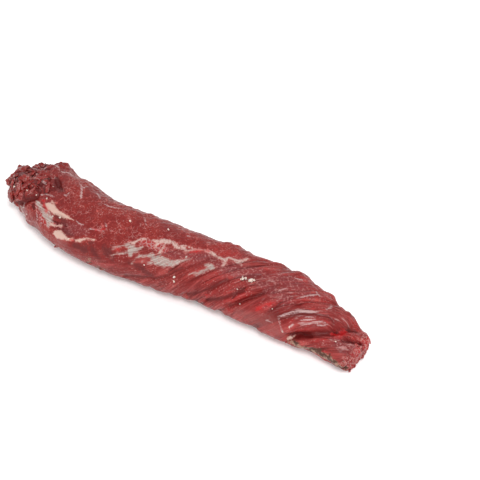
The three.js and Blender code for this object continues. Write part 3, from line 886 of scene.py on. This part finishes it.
class STEAK_OT_muscle(bpy.types.Operator):
    """Builds the muscle with its fibres, fat, silverskin and ragged ends"""
    bl_idname = "steak.muscle"
    bl_label = "Muscle"

    def execute(self, context):
        scene = context.scene
        form = scene.steak_muscle
        bpy.ops.object.select_all(action="DESELECT")
        bpy.ops.mesh.primitive_uv_sphere_add(segments=form.segments, ring_count=form.rings, radius=1)
        piece = context.active_object
        mesh = piece.data
        ball = vertex_places(mesh)
        share = np.arccos(np.clip(ball[:, 2], -1, 1)) / np.pi
        turn = np.arctan2(ball[:, 1], ball[:, 0]) / (2 * np.pi) % 1
        angle = np.interp(turn, COLUMN_SHARE, COLUMN_ANGLE)
        plain, _ = surface(share, angle)
        fields = self.fields(plain, angle)
        points, _ = surface(share, angle, self.fine_relief(form, plain, angle, fields))
        if not np.isfinite(points).all():
            raise RuntimeError("the muscle has a point that is nowhere")
        mesh.vertices.foreach_set("co", to_frame(points).ravel())
        for name, values in fields.items():
            write_field(mesh, name, values)
        write_grain(mesh, *fibre_places(plain[:, 0], angle))
        mesh.update()
        bpy.ops.object.shade_smooth()
        finish_piece(piece, "steak_muscle", raw_beef(scene.steak_finish))
        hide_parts("hanger_steak")
        return {"FINISHED"}

    def fields(self, plain, angle):
        """What lies on each point: the depth fields in metres, and shares from 0 to 1."""
        x = plain[:, 0]
        found = {name: depth_inside(plain, strokes) * MM for name, strokes in DRAWN.items()}
        torn_face = smooth(x, 130.2, 132)
        below = 1 - smooth(np.minimum(angle + 90, 270 - angle), 2, 16)
        plain_cut = 1 - np.clip(fibrous_share(x, angle), 0, 1)
        found["cut_face"] = np.maximum.reduce([plain_cut, torn_face, below])
        bundles, strength = main_bundles(plain, angle)
        # Painted shade: a share that darkens the dips between bundles, the marked furrows, the clefts and
        # the clefts between the ragged end's lumps.
        patchy = 0.4 + 0.6 * smooth(noise(x / 17, angle / 40, 4.5), -0.4, 0.5)
        painted_shade = smooth(-bundles, 0.1, 0.7) * strength * patchy * (1 - torn_face)
        for path, half, depth in FURROWS:
            groove = np.exp(-((distance_to(path, x, angle) / half) ** 2)) * min(depth / 2, 1)
            painted_shade = np.maximum(painted_shade, groove)
        cleft = smooth(found["cleft_depth"] / MM, -0.8, 0.6)
        found["ragged"] = ragged_share(x, angle)
        crumble = smooth(-lump_height(plain, LUMP_SIZE), -0.1, 0.35) * found["ragged"]
        found["painted_shade"] = np.maximum.reduce([painted_shade, cleft, crumble])
        return found

    def fine_relief(self, form, plain, angle, fields):
        """Height on top of the main relief: strands, crumble, the cut face's grain and what lies proud."""
        x, y, z = plain[:, 0], plain[:, 1], plain[:, 2]
        fibres = 1 - fields["cut_face"]
        across = fibre_places(x, angle)[1]
        strands = bundle_height(plain, angle, form.strand_spacing / MM, 24, 1.5, 11.5)
        threads = noise(across / 1.1, x / 12, 5.5) * 0.16 + noise(across / 0.75, x / 9, 8.5) * 0.1
        coarse = 0.35 + 0.65 * smooth(x, -50, 40)
        lift = (strands * form.strand_depth / MM + threads) * (0.12 + 0.88 * fibres * coarse)
        grain = noise(x / 2.3, y / 2.3, z / 2.3) * 0.12 + noise(x / 1.15, y / 1.15, z / 1.15) * 0.12
        lift = lift + grain * (0.4 + 0.6 * fields["cut_face"])
        lift = lift + lump_height(plain, LUMP_SIZE) * form.crumble / MM * fields["ragged"]
        rim = np.exp(-(((angle - 148) / 22) ** 2))
        chips = noise(x / 3.4, y / 3.4, z / 3.4 + 5) * 0.5 + noise(x / 1.6, y / 1.6, z / 1.6 + 9) * 0.3
        ends = noise(y / 2.4, z / 2.4, x / 3 + 3) * 1.1 + noise(y / 1.1, z / 1.1, x / 2 + 6) * 0.6
        lift = lift + chips * rim + ends * smooth(x, 126, 132)
        fat = smooth(np.maximum(fields["fat_depth"], fields["ridge_depth"]) / MM, -0.4, 0.9)
        skin = smooth(fields["skin_depth"] / MM, -0.4, 0.6)
        line = smooth(fields["line_depth"] / MM, -0.4, 0.4)
        lift = lift * (1 - 0.6 * np.maximum(fat, skin))
        lift = lift + fat * form.fat_height / MM + skin * 0.2 + line * 0.15
        return lift - smooth(fields["cleft_depth"] / MM, -0.8, 0.8) * 1.4


class STEAK_OT_scraps(bpy.types.Operator):
    """Adds the flaps and shreds that stand off the torn ends"""
    bl_idname = "steak.scraps"
    bl_label = "Flaps and shreds"

    def execute(self, context):
        draw = np.random.default_rng(7)
        torn = bpy.data.textures.new("torn", "CLOUDS")
        torn.noise_scale = 1.8 * MM
        bpy.ops.object.select_all(action="DESELECT")
        shreds = [(draw.uniform(-127, -97), draw.uniform(5, 150), draw.uniform(0, 180),
                   (draw.uniform(4, 8), draw.uniform(1, 2.2), draw.uniform(0.9, 1.5)), draw.uniform(0, 15))
                  for _ in range(SHRED_COUNT)]
        tufts = [(draw.uniform(130.5, 133.8), draw.uniform(-60, 200), draw.uniform(0, 180),
                  (draw.uniform(2, 3), draw.uniform(1.2, 2), draw.uniform(0.8, 1.4)), draw.uniform(5, 35))
                 for _ in range(TUFT_COUNT)]
        scraps = [self.scrap(context, *each, torn) for each in SCRAPS + shreds + tufts]
        piece = join_all(scraps)
        bpy.data.textures.remove(torn)
        finish_piece(piece, "torn_scraps", bpy.data.materials["raw_beef"])
        return {"FINISHED"}

    def scrap(self, context, x, angle, turn, size, lift, torn):
        """One flat scrap, turned from the muscle's length and lifted off its surface."""
        point, out = place_on(x, angle)
        ahead = place_on(x - 0.4, angle)[0] - point
        ahead = -ahead + out * (ahead @ out)
        ahead /= np.linalg.norm(ahead)
        side = np.cross(out, ahead)
        turn, lift = math.radians(turn), math.radians(lift)
        run = (ahead * math.cos(turn) + side * math.sin(turn)) * math.cos(lift) + out * math.sin(lift)
        flat = np.cross(out, run) / np.linalg.norm(np.cross(out, run))
        axes = np.stack([run, flat, np.cross(run, flat)])
        bpy.ops.mesh.primitive_ico_sphere_add(subdivisions=3, radius=1)
        scrap = context.active_object
        mesh = scrap.data
        ball = vertex_places(mesh)
        placed = (ball * np.array(size) / 2) @ axes + point + out * size[2] * 0.15
        mesh.vertices.foreach_set("co", to_frame(placed).ravel())
        roughen(scrap, torn, size[2] * 0.8)
        spots = vertex_places(mesh)
        spots[:, 2] = np.maximum(spots[:, 2], 0)
        mesh.vertices.foreach_set("co", spots.ravel())
        for name in DRAWN:
            write_field(mesh, name, np.full(len(spots), -FAR * MM))
        write_field(mesh, "cut_face", np.full(len(spots), 0.5))
        write_field(mesh, "ragged", np.full(len(spots), 1.0))
        # Painted shade on the scrap's underside.
        write_field(mesh, "painted_shade", smooth(-ball[:, 2], -0.1, 0.9))
        write_grain(mesh, placed @ run, placed @ flat)
        return scrap


class STEAK_OT_fat_crumbs(bpy.types.Operator):
    """Lays the crumbs of fat on the meat"""
    bl_idname = "steak.fat_crumbs"
    bl_label = "Fat crumbs"

    def execute(self, context):
        draw = np.random.default_rng(31)
        rough = bpy.data.textures.new("crumb_rough", "CLOUDS")
        rough.noise_scale = 0.6 * MM
        bpy.ops.object.select_all(action="DESELECT")
        crumbs = []
        for x, angle, radius in FAT_CRUMBS:
            point, out = place_on(x, angle)
            centre = to_frame(point + out * radius * 0.45)
            bpy.ops.mesh.primitive_ico_sphere_add(subdivisions=3, radius=radius * MM, location=centre)
            crumb = context.active_object
            crumb.scale = draw.uniform(0.45, 1.25, 3)
            crumb.rotation_euler = draw.uniform(0, math.tau, 3)
            bpy.ops.object.transform_apply(location=True, rotation=True, scale=True)
            roughen(crumb, rough, radius * 2.2)
            crumbs.append(crumb)
        piece = join_all(crumbs)
        bpy.data.textures.remove(rough)
        finish_piece(piece, "fat_crumbs", crumbled_fat(context.scene.steak_finish))
        return {"FINISHED"}


class STEAK_OT_studio(bpy.types.Operator):
    """Sets the floor, the soft lights and the camera"""
    bl_idname = "steak.studio"
    bl_label = "Studio"

    def execute(self, context):
        scene = context.scene
        studio = scene.steak_studio
        bpy.ops.object.select_all(action="DESELECT")
        bpy.ops.mesh.primitive_plane_add(size=FLOOR_SIZE, location=(0, 0, -FLOOR_DROP))
        floor = context.active_object
        floor.name = "floor"
        bpy.ops.object.transform_apply(location=True, rotation=True, scale=True)
        floor.data.materials.append(painted_board(studio.floor))
        for each in LIGHTS:
            self.light(*each)
        world = bpy.data.worlds.new("white_tent")
        world.use_nodes = True
        tent = world.node_tree.nodes["Background"]
        tent.inputs["Color"].default_value = (1, 1, 1, 1)
        tent.inputs["Strength"].default_value = TENT_STRENGTH
        scene.world = world
        scene.view_settings.view_transform = "Standard"
        self.camera(scene, studio)
        return {"FINISHED"}

    def light(self, name, place, size, power):
        """A round soft light that faces the steak."""
        bpy.ops.object.light_add(type="AREA", location=place)
        lamp = bpy.context.active_object
        lamp.name = name
        lamp.data.shape = "DISK"
        lamp.data.size = size
        lamp.data.energy = power
        lamp.rotation_euler = (-Vector(place)).to_track_quat("-Z", "Y").to_euler()

    def camera(self, scene, studio):
        """The camera, turned round the steak and raised, at its distance from the aim."""
        turn, rise = studio.azimuth, studio.elevation
        back = Vector((math.sin(turn) * math.cos(rise), -math.cos(turn) * math.cos(rise), math.sin(rise)))
        aim = Vector(studio.aim)
        bpy.ops.object.camera_add(location=aim + back * studio.distance)
        camera = bpy.context.active_object
        camera.name = "camera"
        camera.rotation_euler = back.to_track_quat("Z", "Y").to_euler()
        camera.data.lens = studio.lens
        camera.data.sensor_width = SENSOR_WIDTH_MM
        camera.data.clip_start = NEAREST_SEEN
        scene.camera = camera


class STEAK_PT_panel(bpy.types.Panel):
    bl_label = "Raw hanger steak"
    bl_idname = "STEAK_PT_panel"
    bl_space_type = "VIEW_3D"
    bl_region_type = "UI"
    bl_category = "Steak"

    def draw(self, context):
        for group in ("steak_muscle", "steak_finish", "steak_studio"):
            settings = getattr(context.scene, group)
            for name in settings.__annotations__:
                self.layout.prop(settings, name)
        for operator in OPERATORS:
            self.layout.operator(operator.bl_idname)


OPERATORS = (STEAK_OT_muscle, STEAK_OT_scraps, STEAK_OT_fat_crumbs, STEAK_OT_studio)
SETTINGS = {"steak_muscle": MuscleSettings, "steak_finish": FinishSettings, "steak_studio": StudioSettings}


def register():
    for kind in (*SETTINGS.values(), *OPERATORS, STEAK_PT_panel):
        bpy.utils.register_class(kind)
    for name, kind in SETTINGS.items():
        setattr(bpy.types.Scene, name, bpy.props.PointerProperty(type=kind))


def unregister():
    for name in SETTINGS:
        delattr(bpy.types.Scene, name)
    for kind in (STEAK_PT_panel, *reversed(OPERATORS), *reversed(SETTINGS.values())):
        bpy.utils.unregister_class(kind)


def main():
    register()
    bpy.ops.steak.muscle()
    bpy.ops.steak.scraps()
    bpy.ops.steak.fat_crumbs()
    bpy.ops.steak.studio()


if __name__ == "__main__":
    main()
